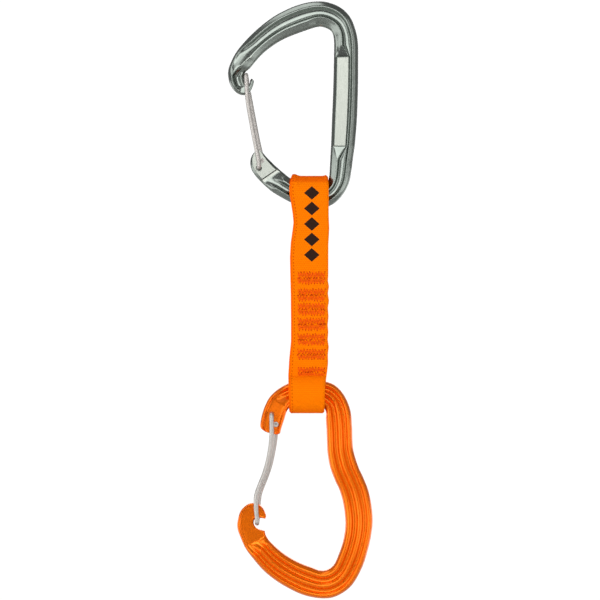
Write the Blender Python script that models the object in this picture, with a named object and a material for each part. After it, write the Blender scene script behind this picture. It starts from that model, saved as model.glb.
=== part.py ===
"""A climbing quickdraw: two forged wire-gate carabiners joined by a sewn webbing sling.

Metres, +Z up. The origin is where a bolt hanger carries the upper carabiner: the highest point of its
inner edge. +X points at the spines, and the gates are on the -X side. The object is flat in Y.
"""

import math

import bpy
import bmesh
import numpy as np
from mathutils import Matrix, Vector

MM = 0.001

# Joints: where each piece turns, in millimetres (x, y, z)
UPPER_GATE_AXIS = (-28.35, 0.0, -65.6)
SLING_AXIS = (-5.2, 0.0, -80.7)
TWIST_AXIS = (-5.2, 0.0, -114.15)
LOWER_AXIS = (-5.2, 0.0, -175.0)
LOWER_GATE_AXIS = (-22.0, 0.0, -186.95)

# Gate wires
UPPER_WIRE_R = 1.0
LOWER_WIRE_R = 1.1
UPPER_LEG_Y = 3.9
LOWER_LEG_Y = 4.15
TANG_REACH = 2.0
BEND = 0.6
UPPER_TANG_RADIUS = 1.82
UPPER_TANG_ANGLE = 249.0
UPPER_OPENING = 39.0
LOWER_TANG_RADIUS = 2.65
LOWER_TANG_ANGLE = 112.0
LOWER_OPENING = 35.0
TANG_PLAY = 0.2

# Webbing sling
PLY = 1.3
SEWN_HALF = 1.9
SLING_LEFT = -13.4
SLING_RIGHT = 3.9
UPPER_EYE_R = 8.4
LOWER_EYE_R = 7.9
LOWER_EYE_LEFT = -14.3
LOWER_EYE_RIGHT = 2.2
THROAT_GAP = 0.3
TAPER = 14.5

# Bar tacks: top and bottom of each one, down the sewn part
TACKS = (
    (-116.9, -122.5),
    (-125.0, -130.6),
    (-131.8, -137.4),
    (-138.9, -144.5),
    (-146.5, -151.7),
    (-153.7, -158.3),
    (-162.2, -165.2),
)
TACK_LEFT = -10.6
TACK_RIGHT = 2.4
TACK_THREAD = 0.5
TACK_GAP = 0.3
POST = 1.2
POST_X = (-8.0, -0.2)

# Sections of the forged bars: twelve points from the inner edge (0) to the outer edge (1) of the bar,
# each with the bar's half thickness there in millimetres.
TWO_RIBS = (
    (0, 1.0), (0.05, 2.6), (0.14, 3.6), (0.24, 4.0), (0.34, 3.7), (0.42, 2.7),
    (0.52, 2.4), (0.62, 2.7), (0.70, 3.8), (0.79, 4.0), (0.92, 2.9), (1, 1.0),
)  # fmt: skip
PANEL = (
    (0, 1.0), (0.05, 2.6), (0.14, 4.0), (0.24, 4.0), (0.42, 4.0), (0.59, 4.0),
    (0.63, 2.7), (0.69, 2.7), (0.75, 3.8), (0.82, 4.0), (0.93, 2.9), (1, 1.0),
)  # fmt: skip
PIVOT_PLATE = (
    (0, 1.0), (0.06, 1.9), (0.13, 2.2), (0.24, 2.2), (0.34, 2.2), (0.44, 2.2),
    (0.54, 2.2), (0.64, 2.2), (0.74, 2.2), (0.87, 2.2), (0.94, 1.9), (1, 1.0),
)  # fmt: skip
POCKET = (
    (0, 1.2), (0.06, 1.9), (0.14, 2.0), (0.24, 2.0), (0.34, 2.0), (0.44, 2.0),
    (0.54, 2.3), (0.62, 3.6), (0.72, 3.9), (0.84, 3.5), (0.94, 2.4), (1, 1.0),
)  # fmt: skip
HOOK = (
    (0, 1.2), (0.08, 1.9), (0.16, 2.1), (0.26, 2.1), (0.36, 2.1), (0.46, 2.1),
    (0.56, 2.1), (0.66, 2.1), (0.76, 2.1), (0.86, 2.1), (0.94, 1.8), (1, 1.0),
)  # fmt: skip
THREE_RIBS = (
    (0, 1.0), (0.06, 3.1), (0.17, 4.0), (0.28, 3.5), (0.36, 2.6), (0.45, 3.5),
    (0.58, 4.0), (0.70, 3.5), (0.76, 2.6), (0.84, 3.6), (0.94, 3.0), (1, 1.0),
)  # fmt: skip
RIMMED_PLATE = (
    (0, 1.2), (0.05, 2.5), (0.10, 2.7), (0.15, 2.2), (0.26, 2.2), (0.40, 2.2),
    (0.54, 2.2), (0.70, 2.2), (0.85, 2.2), (0.90, 2.7), (0.95, 2.5), (1, 1.2),
)  # fmt: skip
RIMMED_NOSE = (
    (0, 1.2), (0.06, 1.9), (0.14, 2.0), (0.24, 2.0), (0.36, 2.0), (0.48, 2.0),
    (0.60, 2.0), (0.72, 2.0), (0.82, 2.1), (0.88, 2.6), (0.95, 2.4), (1, 1.2),
)  # fmt: skip

# Each bar is a row of stations: a point on its inner edge, the point across on its outer edge
# (both x and z, in millimetres), and the section there.
UPPER_BAR = (
    ((-28.8, -58.9), (-30.2, -58.9), PIVOT_PLATE),
    ((-27.6, -59.5), (-31.7, -60.2), PIVOT_PLATE),
    ((-26.3, -61.0), (-32.9, -62.5), PIVOT_PLATE),
    ((-24.9, -62.6), (-33.2, -65.3), PIVOT_PLATE),
    ((-23.0, -64.5), (-32.5, -68.4), PIVOT_PLATE),
    ((-21.2, -66.3), (-30.8, -71.0), PIVOT_PLATE),
    ((-19.9, -67.4), (-28.8, -73.3), PIVOT_PLATE),
    ((-18.8, -68.4), (-27.4, -74.7), TWO_RIBS),
    ((-14.9, -71.5), (-22.5, -78.9), TWO_RIBS),
    ((-10.5, -74.3), (-15.5, -82.9), TWO_RIBS),
    ((-6.0, -76.0), (-9.0, -85.6), TWO_RIBS),
    ((-1.8, -76.5), (-2.2, -86.9), TWO_RIBS),
    ((1.8, -75.8), (4.6, -85.4), TWO_RIBS),
    ((3.7, -74.0), (9.8, -81.5), TWO_RIBS),
    ((4.4, -71.0), (13.6, -75.4), TWO_RIBS),
    ((4.7, -66.5), (15.1, -68.2), TWO_RIBS),
    ((5.0, -61.5), (15.9, -62.0), TWO_RIBS),
    ((5.3, -56.0), (16.7, -56.2), PANEL),
    ((5.7, -44.0), (17.7, -44.0), PANEL),
    ((6.3, -29.0), (18.2, -29.0), PANEL),
    ((6.6, -15.5), (18.3, -15.0), PANEL),
    ((6.7, -9.5), (18.2, -8.0), TWO_RIBS),
    ((6.5, -5.0), (17.2, -2.0), TWO_RIBS),
    ((5.3, -2.2), (14.4, 4.8), TWO_RIBS),
    ((3.0, -0.7), (9.6, 9.4), TWO_RIBS),
    ((0.0, 0.0), (2.0, 12.0), TWO_RIBS),
    ((-4.0, -0.9), (-6.0, 11.6), TWO_RIBS),
    ((-9.5, -2.8), (-14.0, 9.1), TWO_RIBS),
    ((-15.0, -4.9), (-21.5, 5.3), TWO_RIBS),
    ((-20.5, -7.8), (-28.3, 0.3), TWO_RIBS),
    ((-26.0, -11.9), (-34.8, -5.8), TWO_RIBS),
    ((-30.0, -16.0), (-39.9, -12.0), TWO_RIBS),
    ((-33.0, -19.6), (-43.0, -18.2), POCKET),
    ((-35.5, -21.5), (-43.8, -21.6), POCKET),
    ((-36.5, -23.2), (-43.7, -24.0), POCKET),
    ((-36.6, -25.2), (-43.1, -26.9), POCKET),
    ((-36.0, -26.9), (-41.7, -29.6), POCKET),
    ((-35.0, -27.8), (-39.3, -31.8), HOOK),
    ((-34.0, -27.6), (-36.2, -32.6), HOOK),
    ((-33.3, -26.7), (-33.3, -31.1), HOOK),
    ((-33.0, -25.6), (-32.0, -28.4), HOOK),
    ((-32.6, -24.9), (-31.6, -26.3), HOOK),
)
LOWER_BAR = (
    ((-20.6, -195.6), (-25.6, -194.5), RIMMED_PLATE),
    ((-19.4, -195.0), (-27.7, -193.4), RIMMED_PLATE),
    ((-18.7, -193.0), (-28.6, -191.2), RIMMED_PLATE),
    ((-17.9, -190.0), (-28.3, -188.0), RIMMED_PLATE),
    ((-16.9, -187.0), (-27.4, -184.0), RIMMED_PLATE),
    ((-16.0, -184.0), (-26.0, -180.2), RIMMED_PLATE),
    ((-14.9, -181.9), (-23.6, -176.0), RIMMED_PLATE),
    ((-12.4, -180.3), (-19.0, -172.0), THREE_RIBS),
    ((-9.0, -179.6), (-13.0, -169.2), THREE_RIBS),
    ((-4.5, -179.4), (-5.0, -167.9), THREE_RIBS),
    ((-0.8, -180.0), (2.0, -168.8), THREE_RIBS),
    ((1.6, -181.3), (7.5, -171.0), THREE_RIBS),
    ((2.8, -183.4), (11.8, -176.0), THREE_RIBS),
    ((2.8, -187.0), (14.6, -183.0), THREE_RIBS),
    ((3.1, -192.0), (15.4, -191.0), THREE_RIBS),
    ((3.3, -197.5), (15.6, -197.5), THREE_RIBS),
    ((3.6, -203.0), (16.2, -202.8), THREE_RIBS),
    ((4.8, -209.8), (18.4, -209.8), THREE_RIBS),
    ((7.2, -216.2), (20.8, -215.0), THREE_RIBS),
    ((9.2, -220.5), (23.2, -221.3), THREE_RIBS),
    ((10.9, -226.3), (24.6, -228.0), THREE_RIBS),
    ((11.9, -233.0), (25.2, -235.0), THREE_RIBS),
    ((12.0, -239.0), (24.6, -241.5), THREE_RIBS),
    ((10.9, -245.5), (22.9, -249.2), THREE_RIBS),
    ((8.9, -251.5), (20.0, -257.9), THREE_RIBS),
    ((6.6, -256.4), (14.8, -266.6), THREE_RIBS),
    ((3.4, -258.7), (7.5, -271.5), THREE_RIBS),
    ((0.0, -259.0), (0.5, -272.4), THREE_RIBS),
    ((-4.0, -257.6), (-7.5, -270.9), THREE_RIBS),
    ((-9.5, -255.5), (-14.5, -267.8), THREE_RIBS),
    ((-15.5, -252.2), (-21.0, -263.9), THREE_RIBS),
    ((-20.0, -248.8), (-27.0, -259.0), THREE_RIBS),
    ((-24.0, -244.9), (-32.2, -253.0), THREE_RIBS),
    ((-25.7, -242.5), (-35.6, -248.3), RIMMED_NOSE),
    ((-26.3, -240.3), (-38.0, -243.0), RIMMED_NOSE),
    ((-27.4, -239.9), (-39.1, -240.0), RIMMED_NOSE),
    ((-29.8, -239.1), (-39.5, -237.4), RIMMED_NOSE),
    ((-31.2, -237.6), (-39.2, -235.2), RIMMED_NOSE),
    ((-31.6, -236.2), (-38.4, -232.0), RIMMED_NOSE),
    ((-31.2, -234.8), (-36.9, -229.5), RIMMED_NOSE),
    ((-30.0, -234.2), (-33.6, -227.1), RIMMED_NOSE),
    ((-28.6, -234.1), (-29.6, -227.3), RIMMED_NOSE),
    ((-27.2, -234.2), (-27.0, -229.4), RIMMED_NOSE),
    ((-26.3, -234.4), (-25.7, -232.4), RIMMED_NOSE),
)

# Route of one leg of each gate, from its bend at the pivot to its bend at the crossbar (x, z),
# front leg first. The crossbar lies along Y.
UPPER_LEGS = (
    ((-29.0, -67.3), (-29.1, -65.6), (-31.7, -51.0), (-34.3, -36.0), (-35.0, -26.5), (-35.1, -23.1)),
    ((-27.7, -63.9), (-27.8, -62.2), (-29.6, -54.0), (-33.0, -36.0), (-34.7, -26.5), (-35.1, -23.1)),
)
LOWER_LEGS = (
    ((-23.0, -184.5), (-23.0, -186.3), (-23.1, -196.9), (-24.6, -206.4), (-26.5, -213.0),
     (-28.6, -218.3), (-30.3, -223.5), (-30.4, -229.5), (-30.0, -233.3), (-29.9, -236.4)),
    ((-21.0, -189.4), (-21.0, -191.2), (-21.4, -196.9), (-23.1, -206.4), (-25.0, -213.0),
     (-27.1, -218.3), (-28.9, -223.5), (-29.5, -229.5), (-29.7, -233.3), (-29.9, -236.4)),
)  # fmt: skip


def clear_scene():
    for old in list(bpy.data.objects):
        bpy.data.objects.remove(old, do_unlink=True)


def finish(name, colour, roughness, metallic):
    """A plain finish with the piece's colour."""
    material = bpy.data.materials.new(name)
    material.use_nodes = True
    shader = material.node_tree.nodes["Principled BSDF"]
    shader.inputs["Base Color"].default_value = (*colour, 1)
    shader.inputs["Roughness"].default_value = roughness
    shader.inputs["Metallic"].default_value = metallic
    return material


def curve_through(points, step):
    """Points on a smooth (Catmull-Rom) curve through these, about one step apart."""
    points = np.asarray(points, float)
    ends = np.vstack([2 * points[0] - points[1], points, 2 * points[-1] - points[-2]])
    route = []
    for i in range(len(points) - 1):
        a, b, c, d = ends[i : i + 4]
        count = max(1, round(float(np.abs(c - b).max()) / step))
        for t in np.arange(count) / count:
            route.append(0.5 * (2 * b + (c - a) * t + (2 * a - 5 * b + 4 * c - d) * t**2
                                + (3 * b - a - 3 * c + d) * t**3))  # fmt: skip
    route.append(points[-1])
    return np.array(route)


def new_piece(name, data, material):
    piece = bpy.data.objects.new(name, data)
    data.materials.append(material)
    bpy.context.scene.collection.objects.link(piece)
    return piece


def mesh_piece(name, shape, material):
    """An object made from this bmesh, in millimetres, with its faces turned outwards."""
    bmesh.ops.recalc_face_normals(shape, faces=shape.faces)
    bmesh.ops.scale(shape, vec=(MM, MM, MM), verts=shape.verts)
    mesh = bpy.data.meshes.new(name)
    shape.to_mesh(mesh)
    shape.free()
    mesh.shade_smooth()
    mesh.set_sharp_from_angle(angle=math.radians(35))
    return new_piece(name, mesh, material)


def forged_bar(name, stations, material, longest_step=4.2):
    """Lofts the section along the stations: front and back faces mirror each other in Y."""
    rings = []
    edges = np.array([inner + outer for inner, outer, _ in stations])
    ends = np.vstack([2 * edges[0] - edges[1], edges, 2 * edges[-1] - edges[-2]])
    for i in range(len(stations) - 1):
        a, b, c, d = ends[i : i + 4]
        count = max(1, round(float(np.abs(c - b).max()) / longest_step))
        first = np.array(stations[i][2])
        second = np.array(stations[i + 1][2])
        for t in np.arange(count) / count:
            edge = 0.5 * (2 * b + (c - a) * t + (2 * a - 5 * b + 4 * c - d) * t**2
                          + (3 * b - a - 3 * c + d) * t**3)  # fmt: skip
            rings.append((edge, first + (second - first) * t))
    rings.append((edges[-1], np.array(stations[-1][2])))

    shape = bmesh.new()
    loops = []
    for edge, section in rings:
        inner, outer = edge[:2], edge[2:]
        front = [(*(inner + (outer - inner) * u), -half) for u, half in section]
        ring = [(x, y, z) for x, z, y in front]
        ring += [(x, -y, z) for x, y, z in reversed(ring)]
        loops.append([shape.verts.new(point) for point in ring])
    around = len(loops[0])
    for near, far in zip(loops, loops[1:]):
        for k in range(around):
            after = (k + 1) % around
            shape.faces.new((near[k], near[after], far[after], far[k]))
    shape.faces.new(loops[0])
    shape.faces.new(loops[-1])
    return mesh_piece(name, shape, material)


def prism(name, outline, low, high, axis, material=None):
    """A solid with this outline, pushed along X or Y from low to high."""
    shape = bmesh.new()
    sides = []
    for place in (low, high):
        corners = [(place, a, b) if axis == "X" else (a, place, b) for a, b in outline]
        sides.append([shape.verts.new(corner) for corner in corners])
    for k in range(len(outline)):
        after = (k + 1) % len(outline)
        shape.faces.new((sides[0][k], sides[0][after], sides[1][after], sides[1][k]))
    for side in sides:
        shape.faces.new(side)
    return mesh_piece(name, shape, material)


def arc(centre, radius, start, stop, count):
    """Points on an arc, with the angles in degrees from +X (or +Y) towards +Z."""
    angles = np.radians(np.linspace(start, stop, count))
    return [(centre[0] + radius * math.cos(a), centre[1] + radius * math.sin(a)) for a in angles]


def cut(piece, cutter):
    """Takes the cutter's shape out of the piece."""
    cutter.hide_render = True
    cutter.display_type = "WIRE"
    modifier = piece.modifiers.new(cutter.name, "BOOLEAN")
    modifier.operation = "DIFFERENCE"
    modifier.object = cutter


def tang_slot(body, name, axis, radius, wire_r, start, turn, material):
    """The curved hole that one end of the gate wire moves along as the gate opens."""
    centre = (axis[0], axis[2])
    half = wire_r + TANG_PLAY
    stop = start + turn
    near, far = arc(centre, radius, start, stop, 2)
    side = 1 if turn > 0 else -1
    outline = arc(centre, radius + half, start, stop, 7)
    outline += arc(far, half, stop, stop + side * 180, 7)[1:]
    outline += arc(centre, radius - half, stop, start, 7)[1:]
    outline += arc(near, half, start + side * 180, start + side * 360, 7)[1:-1]
    cut(body, prism(name, outline, -6, 6, "Y", material))


def gate_wire(name, legs, leg_y, wire_r, material):
    """One wire: tang, front leg, crossbar, rear leg, tang. A curve with a round section."""
    front = [(x, -leg_y, z) for x, z in legs[0][1:-1]]
    rear = [(x, leg_y, z) for x, z in legs[1][-2:0:-1]]
    (front_x, front_z), (rear_x, rear_z) = legs[0][0], legs[1][0]
    cross_x, cross_z = legs[0][-1]
    bend = leg_y - BEND
    corners = [(front_x, TANG_REACH, front_z), (front_x, -bend, front_z), *front]
    corners += [(cross_x, -bend, cross_z), (cross_x, bend, cross_z)]
    corners += [*rear, (rear_x, bend, rear_z), (rear_x, -TANG_REACH, rear_z)]
    route = curve_through(corners, 2.6)

    data = bpy.data.curves.new(name, "CURVE")
    data.dimensions = "3D"
    data.bevel_depth = wire_r * MM
    data.bevel_resolution = 1
    data.use_fill_caps = True
    spline = data.splines.new("POLY")
    spline.points.add(len(route) - 1)
    for point, place in zip(spline.points, route):
        point.co = (*(place * MM), 1)
    return new_piece(name, data, material)


def upper_loop(material):
    """The open eye: a teardrop ring of one ply, closed at its foot where the sewing starts."""
    centre = (0, SLING_AXIS[2])
    foot = TWIST_AXIS[2] + THROAT_GAP / 2
    inner = arc(centre, UPPER_EYE_R, -TAPER, 180 + TAPER, 25)
    inner += [(-0.3, foot + 1.4), (0.3, foot + 1.4)]
    outer = arc(centre, UPPER_EYE_R + PLY, -TAPER, 180 + TAPER, 25)
    outer += [(-SEWN_HALF, foot), (SEWN_HALF, foot)]
    shape = bmesh.new()
    rows = []
    for outline in (inner, outer):
        for x in (SLING_LEFT, SLING_RIGHT):
            rows.append([shape.verts.new((x, y, z)) for y, z in outline])
    inner_left, inner_right, outer_left, outer_right = rows
    for first, second in ((inner_left, inner_right), (inner_right, outer_right),
                          (outer_right, outer_left), (outer_left, inner_left)):  # fmt: skip
        for k in range(len(inner)):
            after = (k + 1) % len(inner)
            shape.faces.new((first[k], first[after], second[after], second[k]))
    return mesh_piece("webbing_upper_loop", shape, material)


def sewn_strap(material):
    """The plies sewn flat together, and the snug eye below them."""
    centre = (0, LOWER_AXIS[2])
    top = TWIST_AXIS[2] - THROAT_GAP / 2
    ring = LOWER_EYE_R + PLY
    shoulder = math.degrees(math.acos(SEWN_HALF / ring))
    outline = [(-SEWN_HALF, top), (SEWN_HALF, top)]
    outline += arc(centre, ring, shoulder, -180 - shoulder, 33)
    strap = prism("webbing_sewn_strap", outline, LOWER_EYE_LEFT, LOWER_EYE_RIGHT, "X", material)
    eye = arc(centre, LOWER_EYE_R, 0, 345, 24)
    cut(strap, prism("lower_eye_cutter", eye, LOWER_EYE_LEFT - 2, LOWER_EYE_RIGHT + 2, "X", material))
    return strap


def bar_tack(number, top, bottom, strap, material):
    """A block of zigzag stitching: thread on the front and the back, drawn through the webbing."""
    front = SEWN_HALF + TACK_GAP
    xs = [TACK_LEFT]
    for x in POST_X:
        xs += [x - POST / 2, x + POST / 2]
    xs.append(TACK_RIGHT)
    middle = (top + bottom) / 2
    ys = (-front - TACK_THREAD, -front, front, front + TACK_THREAD)
    zs = (bottom, middle - POST / 2, middle + POST / 2, top)

    def filled(i, j, k):
        inside = 0 <= i < len(xs) - 1 and 0 <= j < 3 and 0 <= k < 3
        return inside and (j != 1 or (i in (1, 3) and k == 1))

    shape = bmesh.new()
    grid = {}

    def corner(i, j, k):
        if (i, j, k) not in grid:
            grid[i, j, k] = shape.verts.new((xs[i], ys[j], zs[k]))
        return grid[i, j, k]

    sides = (
        ((-1, 0, 0), ((0, 0, 0), (0, 1, 0), (0, 1, 1), (0, 0, 1))),
        ((1, 0, 0), ((1, 0, 0), (1, 1, 0), (1, 1, 1), (1, 0, 1))),
        ((0, -1, 0), ((0, 0, 0), (1, 0, 0), (1, 0, 1), (0, 0, 1))),
        ((0, 1, 0), ((0, 1, 0), (1, 1, 0), (1, 1, 1), (0, 1, 1))),
        ((0, 0, -1), ((0, 0, 0), (1, 0, 0), (1, 1, 0), (0, 1, 0))),
        ((0, 0, 1), ((0, 0, 1), (1, 0, 1), (1, 1, 1), (0, 1, 1))),
    )
    for i in range(len(xs) - 1):
        for j in range(3):
            for k in range(3):
                if not filled(i, j, k):
                    continue
                for (di, dj, dk), face in sides:
                    if not filled(i + di, j + dj, k + dk):
                        shape.faces.new([corner(i + a, j + b, k + c) for a, b, c in face])
    tack = mesh_piece(f"bar_tack_{number}", shape, material)

    hole = POST / 2 + TACK_GAP
    for side, x in enumerate(POST_X):
        square = [(x - hole, middle - hole), (x + hole, middle - hole),
                  (x + hole, middle + hole), (x - hole, middle + hole)]  # fmt: skip
        cut(strap, prism(f"needle_hole_{number}_{side}", square, -4, 4, "Y", material))
    return tack


def pivot(name, place, parent=None):
    """An empty on a joint's axis, which carries the pieces that turn there."""
    empty = bpy.data.objects.new(name, None)
    empty.empty_display_size = 0.01
    bpy.context.scene.collection.objects.link(empty)
    place = Vector(place) * MM
    if parent:
        empty.parent = parent
        place -= Vector(parent["place"])
    empty.location = place
    empty["place"] = list(place + Vector(parent["place"])) if parent else list(place)
    return empty


def hang(piece, empty):
    """Puts the piece's own origin on the joint's axis, and parents it there."""
    piece.data.transform(Matrix.Translation(-Vector(empty["place"])))
    piece.parent = empty


clear_scene()

grey = finish("grey_anodised_aluminium", (0.13, 0.14, 0.13), 0.28, 1.0)
orange = finish("orange_anodised_aluminium", (0.83, 0.14, 0.01), 0.28, 1.0)
steel = finish("stainless_wire", (0.62, 0.58, 0.55), 0.25, 1.0)
nylon = finish("orange_webbing", (0.95, 0.20, 0.01), 0.85, 0.0)
thread = finish("tack_thread", (0.55, 0.05, 0.01), 0.8, 0.0)

upper_body = forged_bar("upper_carabiner_body", UPPER_BAR, grey)
for side in range(2):
    tang_slot(upper_body, f"upper_tang_slot_{side}", UPPER_GATE_AXIS, UPPER_TANG_RADIUS, UPPER_WIRE_R,
              UPPER_TANG_ANGLE + 180 * side, -UPPER_OPENING, grey)  # fmt: skip
lower_body = forged_bar("lower_carabiner_body", LOWER_BAR, orange)
for side in range(2):
    tang_slot(lower_body, f"lower_tang_slot_{side}", LOWER_GATE_AXIS, LOWER_TANG_RADIUS, LOWER_WIRE_R,
              LOWER_TANG_ANGLE + 180 * side, LOWER_OPENING, orange)  # fmt: skip

upper_gate = gate_wire("upper_gate_wire", UPPER_LEGS, UPPER_LEG_Y, UPPER_WIRE_R, steel)
lower_gate = gate_wire("lower_gate_wire", LOWER_LEGS, LOWER_LEG_Y, LOWER_WIRE_R, steel)

loop = upper_loop(nylon)
strap = sewn_strap(nylon)
tacks = [bar_tack(n, top, bottom, strap, thread) for n, (top, bottom) in enumerate(TACKS, 1)]

upper_gate_pivot = pivot("upper_gate_pivot", UPPER_GATE_AXIS)
sling_pivot = pivot("sling_pivot", SLING_AXIS)
twist_pivot = pivot("twist_pivot", TWIST_AXIS, sling_pivot)
lower_pivot = pivot("lower_pivot", LOWER_AXIS, twist_pivot)
lower_gate_pivot = pivot("lower_gate_pivot", LOWER_GATE_AXIS, lower_pivot)

hang(upper_gate, upper_gate_pivot)
hang(loop, sling_pivot)
hang(lower_body, lower_pivot)
hang(lower_gate, lower_gate_pivot)
for piece in (strap, *tacks):
    hang(piece, twist_pivot)
for cutter in bpy.data.objects:
    if cutter.name.startswith(("lower_eye", "needle_hole")):
        hang(cutter, twist_pivot)
    elif cutter.name.startswith("lower_tang_slot"):
        hang(cutter, lower_pivot)
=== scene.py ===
import math

import bmesh
import bpy
import numpy as np
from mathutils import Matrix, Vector


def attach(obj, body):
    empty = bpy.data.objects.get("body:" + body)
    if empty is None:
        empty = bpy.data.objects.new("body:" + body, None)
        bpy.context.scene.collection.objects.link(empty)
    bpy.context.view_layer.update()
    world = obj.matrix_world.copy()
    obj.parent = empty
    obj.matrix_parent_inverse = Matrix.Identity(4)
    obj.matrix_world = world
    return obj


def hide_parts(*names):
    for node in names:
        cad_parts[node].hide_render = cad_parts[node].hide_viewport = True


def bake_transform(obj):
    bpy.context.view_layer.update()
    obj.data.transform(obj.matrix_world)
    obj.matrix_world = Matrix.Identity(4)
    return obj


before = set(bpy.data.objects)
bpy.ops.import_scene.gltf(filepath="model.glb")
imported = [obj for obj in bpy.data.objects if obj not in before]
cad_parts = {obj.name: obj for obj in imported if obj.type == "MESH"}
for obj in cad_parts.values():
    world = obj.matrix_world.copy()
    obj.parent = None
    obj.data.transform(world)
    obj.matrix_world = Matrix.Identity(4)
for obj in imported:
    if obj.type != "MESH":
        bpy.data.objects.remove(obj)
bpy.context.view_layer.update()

MM = 0.001


# ---------------------------------------------------------------- upper carabiner body
# The upper carabiner's body: one aluminium bar, hot forged into a hook with two ribs. It has a
# milled marking panel on the spine and a milled plate where the gate wire turns in two drilled
# holes, and it is tumbled and anodised grey.

# Sections: points from the inner edge (0) to the outer edge (1), with the half thickness in mm.
RIBBED = (
    (0, 1.0), (0.025, 1.9), (0.055, 2.5), (0.10, 2.9), (0.17, 3.3), (0.245, 3.8), (0.272, 3.98),
    (0.288, 4.0), (0.30, 4.0), (0.312, 4.0), (0.328, 3.97), (0.35, 3.75), (0.39, 3.0), (0.44, 2.5),
    (0.53, 2.35), (0.63, 2.45), (0.69, 3.0), (0.735, 3.85), (0.765, 4.0), (0.80, 3.93), (0.90, 3.1),
    (0.955, 2.3), (1, 1.0),
)  # fmt: skip
BASKET = (
    (0, 1.0), (0.025, 1.75), (0.055, 2.2), (0.10, 2.5), (0.17, 2.85), (0.25, 3.3), (0.30, 3.75),
    (0.325, 3.95), (0.34, 4.0), (0.352, 3.98), (0.365, 3.9), (0.385, 3.6), (0.415, 2.95),
    (0.455, 2.5), (0.53, 2.35), (0.63, 2.45), (0.69, 3.0), (0.735, 3.85), (0.765, 4.0),
    (0.80, 3.93), (0.90, 3.1),
    (0.955, 2.3), (1, 1.0),
)  # fmt: skip
PANEL = (
    (0, 1.0), (0.02, 1.9), (0.045, 2.6), (0.08, 3.2), (0.115, 3.75), (0.137, 4.0), (0.150, 4.0),
    (0.25, 4.0), (0.37, 4.0), (0.49, 4.0), (0.592, 4.0), (0.605, 4.0), (0.620, 3.5), (0.635, 2.8),
    (0.665, 2.55), (0.70, 2.7), (0.725, 3.3), (0.75, 3.9), (0.775, 4.0), (0.805, 3.9), (0.90, 3.1),
    (0.955, 2.3), (1, 1.0),
)  # fmt: skip
DIP = tuple((u, min(h, 2.85) if 0.1 < u < 0.61 else h) for u, h in PANEL)
FOOT_DIP = tuple((u, min(h, 3.35) if 0.1 < u < 0.61 else h) for u, h in PANEL)
PLATE = (
    (0, 0.9), (0.03, 1.35), (0.06, 1.7), (0.09, 2.0), (0.12, 2.2), (0.135, 2.2), (0.18, 2.2),
    (0.24, 2.2), (0.30, 2.2), (0.36, 2.2), (0.42, 2.2), (0.48, 2.2), (0.54, 2.2), (0.60, 2.2),
    (0.66, 2.2), (0.72, 2.2), (0.78, 2.2), (0.84, 2.2), (0.88, 2.2), (0.90, 2.0), (0.93, 1.7),
    (0.965, 1.35), (1, 0.9),
)  # fmt: skip
AFTER_PLATE = tuple((u, min(h, 1.65)) for u, h in PLATE)
RISING = tuple(((a + b) / 2, (h + k) / 2) for (a, h), (b, k) in zip(AFTER_PLATE, RIBBED))
RIB_END = (
    (0, 1.0), (0.025, 1.9), (0.055, 2.4), (0.10, 2.8), (0.16, 3.2), (0.225, 3.7), (0.255, 3.95),
    (0.28, 4.0), (0.30, 4.0), (0.32, 4.0), (0.345, 3.95), (0.38, 3.85), (0.44, 3.6), (0.50, 3.4),
    (0.57, 3.2), (0.65, 3.05), (0.72, 2.9), (0.78, 2.85), (0.83, 2.95), (0.87, 3.25), (0.905, 3.25),
    (0.955, 2.5), (1, 1.0),
)  # fmt: skip
NOSE_BAND = (
    (0, 1.0), (0.03, 1.8), (0.06, 2.3), (0.10, 2.6), (0.16, 2.85), (0.24, 3.1), (0.32, 3.35),
    (0.39, 3.65), (0.435, 3.9), (0.46, 4.0), (0.48, 4.0), (0.50, 3.98), (0.53, 3.9), (0.58, 3.8),
    (0.63, 3.7), (0.68, 3.6), (0.73, 3.5), (0.78, 3.4), (0.82, 3.3), (0.86, 3.2), (0.91, 2.85),
    (0.96, 2.1), (1, 1.0),
)  # fmt: skip
POCKET_START = (
    (0, 1.0), (0.03, 1.4), (0.06, 1.8), (0.10, 2.05), (0.15, 2.1), (0.20, 2.0), (0.26, 1.9),
    (0.32, 1.95), (0.38, 2.1), (0.44, 2.4), (0.50, 2.8), (0.55, 3.2), (0.59, 3.6), (0.62, 3.85),
    (0.645, 3.95), (0.67, 3.95), (0.70, 3.88), (0.74, 3.75), (0.79, 3.5), (0.85, 3.15), (0.91, 2.7),
    (0.96, 2.0), (1, 1.0),
)  # fmt: skip
POCKET = (
    (0, 1.0), (0.03, 1.3), (0.07, 1.7), (0.12, 2.0), (0.17, 2.15), (0.21, 2.15), (0.25, 2.0),
    (0.29, 1.7), (0.34, 1.5), (0.40, 1.4), (0.46, 1.4), (0.52, 1.5), (0.57, 1.75), (0.62, 2.2),
    (0.66, 2.7), (0.70, 3.3), (0.73, 3.7), (0.755, 3.85), (0.78, 3.85), (0.81, 3.7), (0.89, 2.9),
    (0.955, 2.0), (1, 1.0),
)  # fmt: skip
HOOK = (
    (0, 0.9), (0.03, 1.3), (0.06, 1.7), (0.10, 2.0), (0.14, 2.1), (0.18, 2.1), (0.22, 2.1),
    (0.27, 2.1), (0.32, 2.1), (0.37, 2.1), (0.42, 2.1), (0.47, 2.1), (0.52, 2.1), (0.57, 2.1),
    (0.62, 2.1), (0.67, 2.1), (0.72, 2.1), (0.77, 2.1), (0.82, 2.1), (0.87, 2.0), (0.92, 1.7),
    (0.965, 1.3), (1, 0.9),
)  # fmt: skip

HORN = tuple((u, 0.7 + 1.35 * math.sqrt(max(0.0, 1 - (2 * u - 1) ** 2))) for u, _ in HOOK)

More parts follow.
